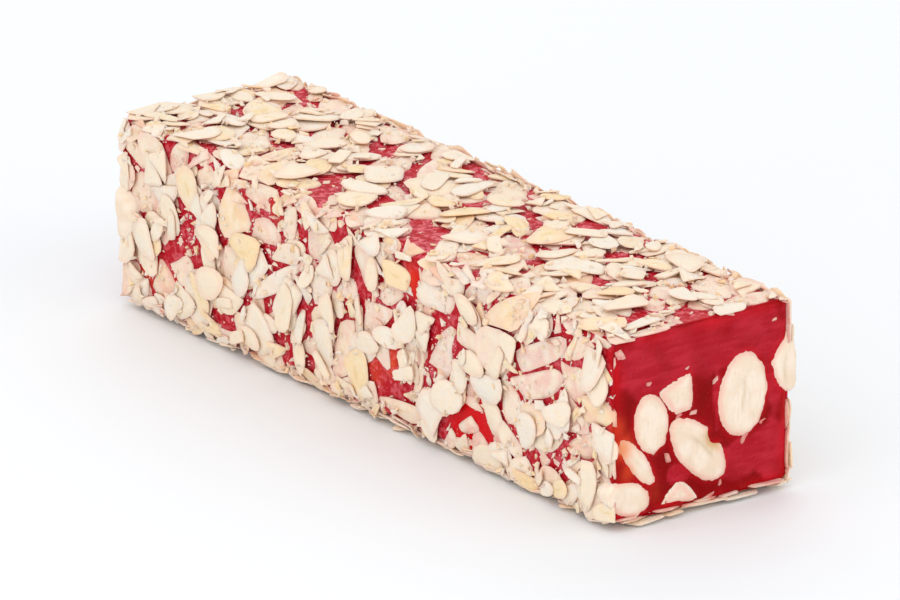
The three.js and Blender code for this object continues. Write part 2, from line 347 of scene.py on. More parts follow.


# ---- the jelly block ----

# Where a kernel lies just under the skin: its middle, its reach, and how strongly it shows through, as a
# painted glow of light through the jelly.
BURIED = [
    ((60.5, -14.4, 12.6), 2.2, 1.0), ((60.5, -15.2, 15.6), 1.8, 0.8), ((60.5, -13.4, 9.0), 1.5, 0.8),
    ((60.5, -8.4, 4.6), 1.6, 0.2), ((7.0, -15.8, 11.0), 2.6, 0.9), ((3.0, -15.8, 8.0), 2.6, 0.6),
    ((-53.6, -15.8, 7.6), 2.8, 0.9), ((-44.6, -15.8, 5.6), 2.8, 0.6), ((11.8, -15.8, 25.4), 2.4, 0.4),
    ((1.4, -12.4, 29.2), 3.0, 0.45), ((-21.0, -15.8, 26.0), 2.4, 0.5), ((-60.5, 11.6, 14.2), 3.0, 0.7),
    ((-60.5, -2.0, 4.4), 2.4, 0.5), ((-30.0, 15.8, 12.0), 4.0, 0.8), ((22.0, 15.8, 20.0), 3.6, 0.7),
    ((44.0, 15.8, 8.0), 3.4, 0.6), ((-12.0, 15.8, 22.0), 3.0, 0.5),
]
# Where the skin of a long face is free of starch and wet: its middle and its reach.
WET = [
    ((26.0, -15.8, 6.4), 6.5), ((13.0, -15.8, 24.4), 2.8), ((-46.0, -15.8, 6.0), 2.4),
    ((10.0, 15.8, 8.0), 5.0), ((-42.0, 15.8, 18.0), 3.6),
]
# Where the knife has dragged a dull film over a cut, its lighter colour partly a painted sheen, the
# reflection of the bright room: middle across and up, reach across and up.
FILM_AND_SHEEN = [
    (1.0, 25.0, 17, 5.0), (-9.0, 22.5, 6, 3.4), (7.0, 6.4, 5.5, 3.0), (12.5, 6.6, 3.4, 5.0),
    (13.4, 20.0, 2.2, 8.0), (3.0, 17.0, 0.7, 5.0), (-4.0, 6.4, 2.0, 1.6), (-12.4, 2.4, 3.0, 1.6),
]
CELL_ALONG, CELL_ACROSS, CELL_AT_EDGES = 0.85, 0.48, 0.3  # sizes of the skin's faces
FINE_END = 3.0  # the width of the band beside a cut that has the small ones
BULGE = 0.35  # how far a buried kernel pushes the skin out
SLUMP, FOOT_SLUMP = 0.1, 0.2  # how far the long faces and the underside sink in
WORN = 0.4  # how far the edges of a cut are worn back, and over what width
CUT_SET_BACK = 0.27  # the soft jelly stands this far behind the nuts that the knife levelled
MENISCUS = 0.14  # how far the jelly climbs at a nut's rim
RIM_BAND = 0.45  # the width of the band at a nut's rim that differs from the rest


def graded(half, cell, fine_end):
    """Steps from -half to half, finer within fine_end of the two ends."""
    middle = half - fine_end
    steps = np.linspace(-middle, middle, 2 * round(middle / cell) + 1)
    ends = np.linspace(middle, half, round(fine_end / CELL_AT_EDGES) + 1)[1:]
    return np.concatenate([-ends[::-1], steps, ends])


def lattice_shell(xs, ys, zs):
    """The outer faces of a box of cells as one closed mesh, facing out."""
    number, points, faces = {}, [], []

    def at(i, j, k):
        if (i, j, k) not in number:
            number[i, j, k] = len(points)
            points.append((xs[i], ys[j], zs[k]))
        return number[i, j, k]

    last = (len(xs) - 1, len(ys) - 1, len(zs) - 1)
    for axis in range(3):
        first, second = (axis + 1) % 3, (axis + 2) % 3
        for side in (0, last[axis]):
            for a in range(last[first]):
                for b in range(last[second]):
                    corners = []
                    for da, db in ((0, 0), (1, 0), (1, 1), (0, 1)):
                        index = [0, 0, 0]
                        index[axis], index[first], index[second] = side, a + da, b + db
                        corners.append(at(*index))
                    faces.append(corners if side else corners[::-1])
    return np.array(points), faces


def inside_edges(points):
    """For each place in the section, the nearest one that the rounding of the long edges leaves alone."""
    flat = JELLY_HALF[1:] - EDGE_RADIUS
    return np.clip(points[:, 1:], -flat, flat)


def round_long_edges(points):
    """Turns the square corners of the section into quarter circles."""
    inner = inside_edges(points)
    out = points[:, 1:] - inner
    reach = np.linalg.norm(out, axis=1)
    square = np.abs(out).max(1)
    points[:, 1:] = inner + out * np.where(reach > 0, square / np.maximum(reach, 1e-9), 1)[:, None]


def outline_on_cut(nut):
    """The edge of a frame nut on the cut, as (across, up) points in order round its middle."""
    points = points_of(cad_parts[nut])
    on_cut = points[np.abs(np.abs(points[:, 0]) - CUT) < 0.01][:, 1:]
    on_cut = np.unique(on_cut.round(3), axis=0)
    turn = np.argsort(np.arctan2(*(on_cut - on_cut.mean(0)).T[::-1]))
    return on_cut[turn]


def distance_to_outline(places, outline):
    """From each place to the closed outline."""
    sides = np.roll(outline, -1, axis=0) - outline
    from_start = places[:, None, :] - outline[None]
    share = np.clip((from_start * sides).sum(2) / np.maximum((sides ** 2).sum(1), 1e-9), 0, 1)
    return np.linalg.norm(from_start - share[..., None] * sides[None], axis=2).min(1)


def cut_nuts(end):
    side = "front" if end > 0 else "back"
    return sorted(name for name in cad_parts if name.startswith(side + "_nut_"))


def near_nuts(places, end):
    """1 at the rim of a nut on the cut, falling to 0 within a millimetre or two."""
    from_nuts = [distance_to_outline(places, outline_on_cut(nut)) for nut in cut_nuts(end)]
    return np.exp(-np.min(from_nuts, axis=0) / RIM_BAND)


def cut_relief(places, near_nut, bulge):
    """How far a cut stands out at each place: it sinks, waves and climbs at the nuts."""
    wave = 0.16 * ripple(places, 9, seed=5, octaves=2) + 0.05 * ripple(places, 1.6, seed=6)
    return wave + MENISCUS * near_nut + 0.15 * bulge - CUT_SET_BACK


def make_jelly(finish):
    """One closed skin: slumped long faces, and cuts that dip and bulge between the nuts."""
    ys, zs = (graded(half, CELL_ACROSS, EDGE_RADIUS) for half in JELLY_HALF[1:])
    points, faces = lattice_shell(graded(CUT, CELL_ALONG, FINE_END), ys, zs)
    on_cut = np.abs(points[:, 0]) > CUT - 1e-6
    round_long_edges(points)
    from_edge = np.minimum(*(JELLY_HALF[1:] - np.abs(points[:, 1:])).T)
    facing = unit(points[:, 1:] - inside_edges(points))
    places = points + JELLY_MIDDLE
    wet = np.where(on_cut, 0.0, wet_places(places))
    bulge = sum(BULGE * np.exp(-(from_nut(places, middle, reach) * 1.1) ** 2)
                for middle, reach, _ in BURIED)

    slump = np.where(facing[:, 1] < -0.5, FOOT_SLUMP, SLUMP)
    swell = 0.16 * ripple(places, 11, seed=1, octaves=2) + 0.05 * ripple(places, 2.2, seed=2)
    places[~on_cut, 1:] += (facing * (swell + bulge - slump)[:, None])[~on_cut]
    near_nut = np.zeros(len(places))
    for end in (1, -1):
        here = on_cut & (points[:, 0] * end > 0)
        near_nut[here] = near_nuts(places[here, 1:], end)
        worn = WORN * np.exp(-(from_edge[here] / WORN) ** 2)
        places[here, 0] += end * (cut_relief(places[here], near_nut[here], bulge[here]) - worn)

    jelly = link(new_object("jelly", places, faces, finish))
    jelly.data.shade_smooth()
    from_cut = CUT - np.abs(places[:, 0])
    dust = np.where(facing[:, 1] > 0.5, 1.0, 0.6) * (1 - wet) * smooth_step(from_cut, 0.2, 2.5)
    thin = thin_places(places, np.where(on_cut, from_edge, from_cut))
    # painted light in the skin: glow and thin are light coming through the jelly, and the dragged film is
    # partly a painted sheen
    paint(jelly, glow=np.clip(glow_of_nuts(places) * (0.75 + 0.5 * ripple(places, 2.4, seed=8)), 0, 1),
          thin=np.maximum(thin, 0.7 * near_nut), film=np.where(on_cut, film_and_sheen_on_cut(places), 0.0), wet=wet,
          skin=np.where(on_cut, 0.0, smooth_step(from_cut, 0.1, 1.0)), dust=np.where(on_cut, 0.0, dust))
    return jelly


def from_nut(places, middle, reach):
    """How far each place is from a buried kernel, as a share of the kernel's reach."""
    return np.linalg.norm((places - middle) * (1, 1, 0.8), axis=1) / reach


def glow_of_nuts(places):
    """How strongly a buried kernel shows through at each place: a painted glow of light through the jelly.
    """
    return np.max([strength * np.exp(-(from_nut(places, middle, reach) * 1.25) ** 2.4)
                   for middle, reach, strength in BURIED], axis=0)


def wet_places(places):
    """1 where the skin is wet, with an uneven edge."""
    uneven = 0.25 * ripple(places, 3, seed=12)
    return np.max([smooth_step(np.linalg.norm(places - middle, axis=1) / reach + uneven, 1.1, 0.7)
                   for middle, reach in WET], axis=0)


def film_and_sheen_on_cut(places):
    """The share of the dragged film and its painted sheen at each place, with a torn edge. The back cut
    carries its mirror image.
    """
    across, up = places[:, 1] * np.where(places[:, 0] > 0, 1, -1), places[:, 2]
    torn = 0.3 * ripple(places, 2.2, seed=32, octaves=2)
    share = np.max([
        smooth_step(np.hypot((across - middle) / reach, (up - middle_up) / reach_up) + torn, 1.1, 0.8)
        for middle, middle_up, reach, reach_up in FILM_AND_SHEEN], axis=0)
    return np.clip(share * (0.85 + 0.6 * ripple(places, 4, seed=31, octaves=2)), 0, 1)


def thin_places(places, from_edge):
    """Light comes through the block where it is thin: along the edges of the cuts."""
    return np.clip(np.exp(-(from_edge / 1.6) ** 2) * (0.45 + 0.8 * ripple(places, 6, seed=9)), 0, 1)


# ---- shapes of hazelnut slices ----

# A shape is one long, one wide and one thick: where it is laid, it gets its size in millimetres.
Shape = namedtuple("Shape", "rim thing")


def oval(rng, wide):
    """The outline of a slice across a whole kernel: uneven, with a slight tip."""
    turn = np.linspace(0, FULL_TURN, 48, endpoint=False)
    uneven = 0.06 * np.cos(2 * turn + rng.uniform(0, 6)) + 0.07 * np.cos(3 * turn + rng.uniform(0, 6))
    uneven += 0.04 * np.cos(5 * turn + rng.uniform(0, 6)) + 0.05 * np.maximum(np.cos(turn), 0) ** 6
    return np.stack([0.5 * np.cos(turn), 0.5 * wide * np.sin(turn)], 1) * (1 + uneven)[:, None]


def broken(outline, direction, distance):
    """What is left of an outline on the near side of a straight break."""
    normal = np.array([math.cos(direction), math.sin(direction)])
    kept = []
    for here, ahead in zip(outline, np.roll(outline, -1, axis=0)):
        depth, depth_ahead = distance - here @ normal, distance - ahead @ normal
        if depth >= 0:
            kept.append(here)
        if depth * depth_ahead < 0:
            kept.append(here + (ahead - here) * depth / (depth - depth_ahead))
    return np.array(kept)


def snapped(outline, rng, direction, waver, least, most):
    """An outline broken off somewhere between two distances, roughly across a direction."""
    return broken(outline, direction + rng.normal(0, waver), rng.uniform(least, most))


def whole(rng):
    return oval(rng, rng.uniform(0.78, 0.95))


def petal(rng):
    """A small slice cut aslant, whole or with its tip gone."""
    return snapped(oval(rng, rng.uniform(0.8, 1.0)), rng, 0, 0.6, 0.22, 0.6)


def chipped(rng):
    outline = oval(rng, rng.uniform(0.7, 0.95))
    for _ in range(rng.integers(1, 4)):
        outline = broken(outline, rng.uniform(0, FULL_TURN), rng.uniform(0.16, 0.36))
    return outline


def half(rng):
    """Split down the middle of the kernel, often with one end gone."""
    outline = snapped(oval(rng, rng.uniform(0.8, 1.0)), rng, math.pi / 2, 0.15, -0.06, 0.1)
    return snapped(outline, rng, 0, 0.3, 0.2, 0.6)


def shard(rng):
    """Three straight breaks leave a piece with one or two sides of the kernel's own curve."""
    outline, direction = oval(rng, rng.uniform(0.8, 1.0)), rng.uniform(0, FULL_TURN)
    for _ in range(3):
        outline = broken(outline, direction, rng.uniform(0.08, 0.24))
        direction += rng.uniform(1.5, 2.3)
    return outline


def sliver(rng):
    """A narrow strip from beside the kernel's hollow."""
    outline = snapped(oval(rng, 0.9), rng, math.pi / 2, 0.08, 0.0, 0.12)
    outline = snapped(outline, rng, -math.pi / 2, 0.08, 0.08, 0.24)
    return snapped(outline, rng, 0, 0.5, 0.25, 0.45)


def filled(outline, count, rng):
    """An outline as `count` points spread along it, a little ragged and worn, round one middle."""
    sides = np.roll(outline, -1, axis=0) - outline
    run = np.concatenate([[0], np.cumsum(np.linalg.norm(sides, axis=1))])
    closed = np.vstack([outline, outline[:1]])
    steps = np.linspace(0, run[-1], count, endpoint=False)
    rim = np.stack([np.interp(steps, run, closed[:, axis]) for axis in (0, 1)], 1)
    before = np.roll(sides, 1, axis=0)
    cross = before[:, 0] * sides[:, 1] - before[:, 1] * sides[:, 0]
    bend = np.arctan2(cross, (before * sides).sum(1))
    for corner in outline[np.abs(bend) > 0.5]:
        rim[np.linalg.norm(rim - corner, axis=1).argmin()] = corner
    rim += rng.normal(0, 0.06 * run[-1] / count, rim.shape)
    beside = (np.roll(rim, 1, axis=0) + np.roll(rim, -1, axis=0)) / 2
    rim = rim + rng.uniform(0.15, 0.6) * (beside - rim)
    return rim, np.tile(rim.mean(0), (count, 1))


def crescent(rng, count):
    """A piece of the ring round the kernel's hollow, with the middle line between its two sides."""
    sweep, hollow, side = rng.uniform(1.8, 3.6), rng.uniform(0.4, 0.62), count // 2
    turn = np.linspace(-sweep / 2, sweep / 2, side)
    arc = np.stack([np.cos(turn), np.sin(turn)], 1)
    outside = arc * (1 + 0.05 * rng.normal(size=side))[:, None]
    inside = arc * (hollow * (1 + 0.08 * rng.normal(size=side)))[:, None]
    spine = (outside + inside) / 2
    spine[0], spine[-1] = spine[1], spine[-2]
    return np.vstack([outside, inside[::-1]]), np.vstack([spine, spine[::-1]])


def shape_thing(name, rim, spine, rng):
    """A thin closed body: a slightly curled top, a worn edge, a leaning rim and a flat foot."""
    worn, lean = rng.uniform(0.1, 0.17), rng.uniform(0.0, 0.07)
    toward, inward = spine - rim, unit(spine - rim)
    rings = [  # where, height, and how far out from the middle
        (rim + toward, 0.5, 0.0),
        (rim + 0.5 * toward, 0.5, 0.5),
        (rim + worn * inward, 0.42, 0.85),
        (rim + 0.2 * worn * inward, 0.12, 0.96),
        (rim + 0.1 * worn * inward, -0.2, 1.0),
        (rim + lean * inward, -0.5, 1.0),
        (rim + toward, -0.5, 0.6),
    ]
    count = len(rim)
    if count < FINE_RIM:
        rings = rings[::2]
    curl, curl_turn, dent = rng.uniform(-0.25, 0.5), rng.uniform(0, math.pi), rng.uniform(0, 0.2)
    points = []
    for ring, height, outward in rings:
        bent = 2 * ring @ np.array([math.cos(curl_turn), math.sin(curl_turn)])
        lift = height + curl * bent ** 2 - (dent * (1 - outward) if height > 0 else 0)
        if outward == 0.5:
            lift = lift + rng.normal(0, 0.08, count)
        points.append(np.column_stack([ring, lift]))
    thing = new_object(name, np.vstack(points), grid_faces(len(rings), count, closed=True))
    paint(thing, rim=np.repeat([outward for _, _, outward in rings], count), kernel=np.vstack(points) * MM)
    with edited(thing.data) as body:
        bmesh.ops.remove_doubles(body, verts=body.verts, dist=0.002 * MM)
        bmesh.ops.recalc_face_normals(body, faces=body.faces)
    return thing


Kind = namedtuple("Kind", "cut shapes count long share thick rim_points")
FINE_RIM = 14  # a slice with fewer rim points than this is made with every other ring
# For each kind: how it is cut, how many different shapes, how many slices on the top face, the
# least and most length, width by length and thickness, and the points round its rim.
KINDS = {
    "whole": Kind(whole, 6, 8, (6.8, 9.2), (0.76, 0.95), (0.35, 0.5), 18),
    "chipped": Kind(chipped, 12, 90, (5.4, 8.8), (0.62, 0.92), (0.3, 0.46), 16),
    "petal": Kind(petal, 10, 140, (4.4, 8.0), (0.45, 0.74), (0.28, 0.44), 14),
    "half": Kind(half, 9, 86, (5.0, 8.0), (0.44, 0.66), (0.28, 0.44), 14),
    "shard": Kind(shard, 12, 120, (3.0, 5.8), (0.55, 0.9), (0.26, 0.42), 14),
    "crescent": Kind(crescent, 7, 16, (3.4, 6.0), (0.5, 0.8), (0.3, 0.45), 16),
    "sliver": Kind(sliver, 9, 46, (3.4, 6.4), (0.3, 0.46), (0.3, 0.42), 14),
    "chip": Kind(shard, 9, 116, (1.3, 2.8), (0.6, 1.0), (0.26, 0.4), 9),
}


def make_shapes(kind_name, seed):
    """Different slices of one kind."""
    kind, rng = KINDS[kind_name], np.random.default_rng(seed)
    shapes = []
    for number in range(kind.shapes):
        if kind.cut is crescent:
            rim, spine = crescent(rng, kind.rim_points)
        else:
            rim, spine = filled(kind.cut(rng), kind.rim_points, rng)
        low, high = rim.min(0), rim.max(0)
        rim, spine = ((part - (low + high) / 2) / (high - low) for part in (rim, spine))
        shapes.append(Shape(rim, shape_thing(f"{kind_name}_{number:02d}", rim, spine, rng)))
    return shapes


# ---- laying the coat ----

CELL = 0.3  # of the height maps
LIP = 0.9  # how far a slice may stand out past a long edge
PAST_CUT = 4.0  # how far a slice may reach past the cut before the knife takes it
NO_SUPPORT = -4.0  # the height of a cell with nothing under it
LOOK_FROM = 5.0  # how far above a face the look for bare places starts
UNSURE = 0.5  # this close to its edge, a face can't tell a bare place from the coat's own edge
SUNK = 0.34  # how deep the lowest slices are pressed into the jelly
SETTLED = 0.88  # share of the cells under a slice that hold it up; the others press into it
HIGHEST = 1.35  # no slice's top rises further than this above the jelly
COAT_RADIUS = 3.4  # the coat's outer surface turns over a long edge with this radius
EDGE_BAND = 2.8  # a slice whose middle is this close to a long edge may lean with the edge
EDGE_LEAN, USUAL_LEAN, RARE_LEAN, FOOT_LEAN = 0.7, 0.2, 0.5, 0.05  # steepest slopes of slices
TOO_PROUD = 0.05  # share of a slice that may stand out past the coat's outer surface
MOST_HIDDEN = 0.16  # share of a slice that may lie over the large slices seen in the photograph
AT_CUT = 0.6  # a random slice's middle is at least this far within the cuts
DEEPEST = -0.6  # a look for a low place takes the cells below this to be at this height
TONE, TONE_SPREAD = 0.45, 0.26  # of a random slice, from greyish white (0) to yellow (1)
STAIN, STAIN_SPREAD = 0.66, 0.2  # how red the jelly stains the lowest slices
STAIN_FADE = 1.1  # how much less for each millimetre that a slice lies higher
RIDGE_HALF = 2.8  # how far from a long edge the slices on it may lie
RIDGE_SPARE = 0.3  # how much further out the slices on a long edge may stand
# The slopes along and across that are tried for a slice, as shares of the steepest.
UNIT_SLOPES = np.array([(a, b) for a in np.linspace(-1, 1, 9) for b in np.linspace(-1, 1, 9)])
ALONG = np.array([1.0, 0, 0])

Slice = namedtuple("Slice", "kind number size spin flipped")  # before it is laid
Laid = namedtuple("Laid", "place turn size shape tone stain")  # what its point says afterwards


class Face:
    """A long face of the jelly as a map of cells: how high the coat stands, and where it is bare."""

    def __init__(self, name, centre, across, out, half_wide):
        self.name, self.half_wide = name, half_wide
        self.centre, self.across, self.out = (np.array(v, float) for v in (centre, across, out))
        self.u = np.arange(-CUT - PAST_CUT, CUT + PAST_CUT, CELL)
        self.v = np.arange(-half_wide - LIP, half_wide + LIP, CELL)
        self.height = self.skin()
        self.ceiling = self.outer_limit()
        self.bare = self.bare_cells()
        self.most_bare = 0.12  # share of a slice that may hang over a bare place
        self.kept = np.zeros(self.height.shape, bool)

    def skin(self):
        """The jelly's own height, falling away over the rounded long edges and past the cuts."""
        past = np.abs(self.v) - (self.half_wide - EDGE_RADIUS)
        fall = EDGE_RADIUS - np.sqrt(np.maximum(EDGE_RADIUS ** 2 - np.maximum(past, 0) ** 2, 0))
        height = np.tile(-SUNK - np.where(past > EDGE_RADIUS, -NO_SUPPORT, fall), (len(self.u), 1))
        height[np.abs(self.u) > CUT] = NO_SUPPORT
        return height

    def outer_limit(self):
        """How high the coat may stand at each v: less and less as it turns over a long edge."""
        past = np.clip(np.abs(self.v) - (self.half_wide + HIGHEST - COAT_RADIUS), 0, COAT_RADIUS)
        return HIGHEST - COAT_RADIUS + np.sqrt(COAT_RADIUS ** 2 - past ** 2)

    def lean(self, v):
        """The steepest that a slice may lie at v, or None away from the long edges."""
        return EDGE_LEAN if abs(v) > self.half_wide - EDGE_BAND else None

    def point(self, u, v, height=0.0):
        return self.centre + u * ALONG + v * self.across + height * self.out

    def bare_cells(self):
        """The cells where a straight look at the face finds no coat in the frame."""
        bare = np.zeros(self.height.shape, bool)
        for i in np.flatnonzero(np.abs(self.u) <= CUT):
            for j in np.flatnonzero(np.abs(self.v) <= self.half_wide - UNSURE):
                start = Vector(self.point(self.u[i], self.v[j], LOOK_FROM) * MM)
                bare[i, j] = COAT_TREE.ray_cast(start, Vector(-self.out), LOOK_FROM * MM)[0] is None
        return bare


class Ridge(Face):
    """A long edge, looked at from straight outside it, over the coat that two laid faces have there."""

    def __init__(self, first, second):
        self.sides = first, second
        out, across = first.out + second.out, first.out - second.out
        edge = first.centre + second.out * first.half_wide
        name = f"{first.name}_{second.name}"
        super().__init__(name, edge, across / math.sqrt(2), out / math.sqrt(2), RIDGE_HALF)

    def rounded(self, radius, corner):
        """A quarter round between two faces whose sharp corner would be at this height."""
        v, turned = np.abs(self.v), radius / math.sqrt(2)
        arc = corner - radius * math.sqrt(2) + np.sqrt(np.maximum(radius ** 2 - v ** 2, 0))
        return np.where(v < turned, arc, corner - v)

    def skin(self):
        """The jelly's rounded edge, and above it the cells of both faces as seen from outside."""
        height = np.tile(self.rounded(EDGE_RADIUS, 0.0) - SUNK, (len(self.u), 1))
        for side in self.sides:
            rows, columns = np.nonzero(side.height > NO_SUPPORT / 2)
            places = (side.centre + side.v[columns, None] * side.across
                      + side.height[rows, columns, None] * side.out - self.centre)
            j = np.round((places @ self.across - self.v[0]) / CELL).astype(int)
            here = (j >= 0) & (j < len(self.v))
            np.maximum.at(height, (rows[here], j[here]), (places @ self.out)[here])
        height[np.abs(self.u) > CUT] = NO_SUPPORT
        return height

    def outer_limit(self):
        return self.rounded(COAT_RADIUS, HIGHEST * math.sqrt(2)) + RIDGE_SPARE

    def lean(self, v):
        return EDGE_LEAN


def footprint(rim, size, spin):
    """The cells that a slice covers, from its middle, for one way of turning it."""
    c, s = math.cos(spin), math.sin(spin)
    outline = rim * size[:2] @ np.array([[c, s], [-s, c]])
    reach = math.ceil(np.abs(outline).max() / CELL)
    steps = np.arange(-reach, reach + 1)
    du, dv = (grid.ravel() for grid in np.meshgrid(steps, steps, indexing="ij"))
    x, y = du * CELL, dv * CELL
    inside = np.zeros(len(x), bool)
    for (ax, ay), (bx, by) in zip(outline, np.roll(outline, -1, axis=0)):
        crosses = (ay > y) != (by > y)
        with np.errstate(divide="ignore", invalid="ignore"):
            inside ^= crosses & (x < (bx - ax) * (y - ay) / (by - ay) + ax)
    inside |= (du == 0) & (dv == 0)
    return du[inside], dv[inside]


def resting_plane(heights, x, y, steepest):
    """The height and slopes at which a stiff slice comes to rest on what lies under it."""
    slopes = UNIT_SLOPES * steepest
    gap = heights[None] - slopes[:, :1] * x[None] - slopes[:, 1:] * y[None]
    held = max(0, math.ceil(SETTLED * len(heights)) - 1)
    lift = np.partition(gap, held, axis=1)[:, held]
    best = (lift + 0.25 * np.hypot(*slopes.T)).argmin()
    return lift[best], slopes[best]


def turn_of(face, slopes, one):
    """A slice's turn: spun in its own plane, maybe turned over, leaned and stood on its face."""
    up = np.array([-slopes[0], -slopes[1], 1.0])
    up /= np.linalg.norm(up)
    lean = Vector((0, 0, 1)).rotation_difference(Vector(up)).to_matrix()
    stand = Matrix((ALONG, face.across, face.out)).transposed()
    over = Matrix.Rotation(math.pi, 3, "X") if one.flipped else Matrix.Identity(3)
    return (stand @ lean @ Matrix.Rotation(one.spin, 3, "Z") @ over).to_euler()


class Layer:
    """Lays slices of every kind on the faces and remembers where each lies."""

    def __init__(self, shapes, seed):
        self.shapes = shapes
        self.rng = np.random.default_rng(seed)
        self.laid = {kind: [] for kind in shapes}

    def pick(self, kind_name):
        """A random slice of a kind: its shape's number and its size."""
        kind, rng = KINDS[kind_name], self.rng
        long = rng.uniform(*kind.long)
        size = np.array([long, long * rng.uniform(*kind.share), rng.uniform(*kind.thick)])
        return int(rng.integers(0, kind.shapes)), size

    def covered(self, one):
        """The cells that a slice covers, from its middle."""
        rim = self.shapes[one.kind][one.number].rim * ((1, -1) if one.flipped else (1, 1))
        return footprint(rim, one.size, one.spin)

    def low_place(self, face, du, dv, tries):
        """The lowest of several random places for a slice, as its cell, or None."""
        best, lowest = None, math.inf
        for _ in range(tries):
            i, j = int(self.rng.integers(0, len(face.u))), int(self.rng.integers(0, len(face.v)))
            rows, columns = i + du, j + dv
            if abs(face.u[i]) > CUT - AT_CUT or rows.min() < 0 or rows.max() >= len(face.u):
                continue
            if columns.min() < 0 or columns.max() >= len(face.v) or face.bare[i, j]:
                continue
            if face.bare[rows, columns].mean() > face.most_bare:
                continue
            if face.kept[rows, columns].mean() > MOST_HIDDEN:
                continue
            mean = np.maximum(face.height[rows, columns], DEEPEST).mean()
            if mean < lowest:
                best, lowest = (i, j), mean
        return best

    def lay(self, face, one, du, dv, cell, steepest, tone=None):
        """Rests a slice on what lies at a cell, unless it would stand too high there."""
        rows, columns = cell[0] + du, cell[1] + dv
        within = (rows >= 0) & (rows < len(face.u)) & (columns >= 0) & (columns < len(face.v))
        rows, columns, x, y = rows[within], columns[within], du[within] * CELL, dv[within] * CELL
        heights = face.height[rows, columns]
        lift, slopes = resting_plane(heights, x, y, steepest)
        top = lift + slopes[0] * x + slopes[1] * y + one.size[2]
        if (top > face.ceiling[columns]).mean() > TOO_PROUD:
            return
        face.height[rows, columns] = np.maximum(heights, top)
        if tone is None:
            tone = float(np.clip(self.rng.normal(TONE, TONE_SPREAD), 0, 1))
        else:
            face.kept[rows, columns] = True
        stain = STAIN - STAIN_FADE * (lift + SUNK) + self.rng.normal(0, STAIN_SPREAD)
        stain = float(np.clip(stain, 0, 1))
        place = face.point(face.u[cell[0]], face.v[cell[1]], lift + one.size[2] / 2)
        turn = tuple(turn_of(face, slopes, one))
        self.laid[one.kind].append(Laid(place, turn, tuple(one.size), one.number, tone, stain))

    def lay_seen(self, face, rows):
        """The large slices that the photograph shows, where it shows them."""
        for along, across, long, wide, lean, tone in rows:
            number, size = self.pick("chipped")
            size[:2] = long, wide
            one = Slice("chipped", number, size, math.radians(lean), self.rng.random() < 0.5)
            cell = round((along - face.u[0]) / CELL), round((across - face.v[0]) / CELL)
            self.lay(face, one, *self.covered(one), cell, USUAL_LEAN, tone)

    def lay_random(self, face, counts, tries=14, spread=math.pi, steepest=None):
        """Slices of every kind, the small ones a little later than the large."""
        queue = []
        for rank, (kind_name, count) in enumerate(counts.items()):
            queue += [(self.rng.random() + 0.12 * rank, kind_name) for _ in range(count)]
        for _, kind_name in sorted(queue):
            number, size = self.pick(kind_name)
            spin, flipped = self.rng.uniform(-spread, spread), self.rng.random() < 0.5
            one = Slice(kind_name, number, size, spin, flipped)
            cells = self.covered(one)
            cell = self.low_place(face, *cells, tries)
            tilt = steepest or (USUAL_LEAN if self.rng.random() < 0.95 else RARE_LEAN)
            if cell is not None:
                self.lay(face, one, *cells, cell, face.lean(face.v[cell[1]]) or tilt)


# ---- Geometry Nodes ----

class Tree(Nodes):
    """A Geometry Nodes tree with named inputs that sets shapes on points."""

    def __init__(self, name, **inputs):
        super().__init__(bpy.data.node_groups.new(name, "GeometryNodeTree"))
        self.sockets = {}
        for label, kind in {"Geometry": "Geometry", **inputs}.items():
            item = self.tree.interface.new_socket(label, in_out="INPUT", socket_type="NodeSocket" + kind)
            self.sockets[label] = item.identifier
        self.tree.interface.new_socket("Geometry", in_out="OUTPUT", socket_type="NodeSocketGeometry")
        self.given = self.add("NodeGroupInput")

    def read(self, name, kind="FLOAT"):
        return self.add("GeometryNodeInputNamedAttribute", {"Name": name}, data_type=kind)[0]

    def set_shapes(self, points, which, turn, size):
        """Ends the tree: a shape on each point, made real and given its finish."""
        shapes = self.add("GeometryNodeCollectionInfo", {
            "Collection": self.given["Shapes"], "Separate Children": True, "Reset Children": True})[0]
        placed = self.add("GeometryNodeInstanceOnPoints", {
            "Points": points, "Instance": shapes, "Pick Instance": True, "Instance Index": which,
            "Rotation": self.add("FunctionNodeEulerToRotation", {"Euler": turn})[0], "Scale": size})[0]
        real = self.add("GeometryNodeRealizeInstances", {"Geometry": placed})[0]
        done = self.add("GeometryNodeSetMaterial", {"Geometry": real, "Material": self.given["Finish"]})[0]
        self.add("NodeGroupOutput", {0: done})

    def grow(self, name, base, things, **values):
        """The plain mesh that the tree makes of a base object and the things that it may pick."""
        shelf = bpy.data.collections.new(name + "_shapes")
        for thing in things:
            shelf.objects.link(thing)
        maker = link(bpy.data.objects.new(name, base.data))
        modifier = maker.modifiers.new(name, "NODES")
        modifier.node_group = self.tree
        for label, value in {"Shapes": shelf, **values}.items():
            modifier[self.sockets[label]] = value
        make_plain(maker)
        return maker


def slice_tree():
    """Sets a chosen slice on each point, turned and sized as the point says."""
    tree = Tree("lay_slices", Shapes="Collection", Finish="Material")
    tree.set_shapes(tree.given["Geometry"], tree.read("shape", "INT"), tree.read("turn", "FLOAT_VECTOR"),
                    tree.read("size", "FLOAT_VECTOR"))
    return tree


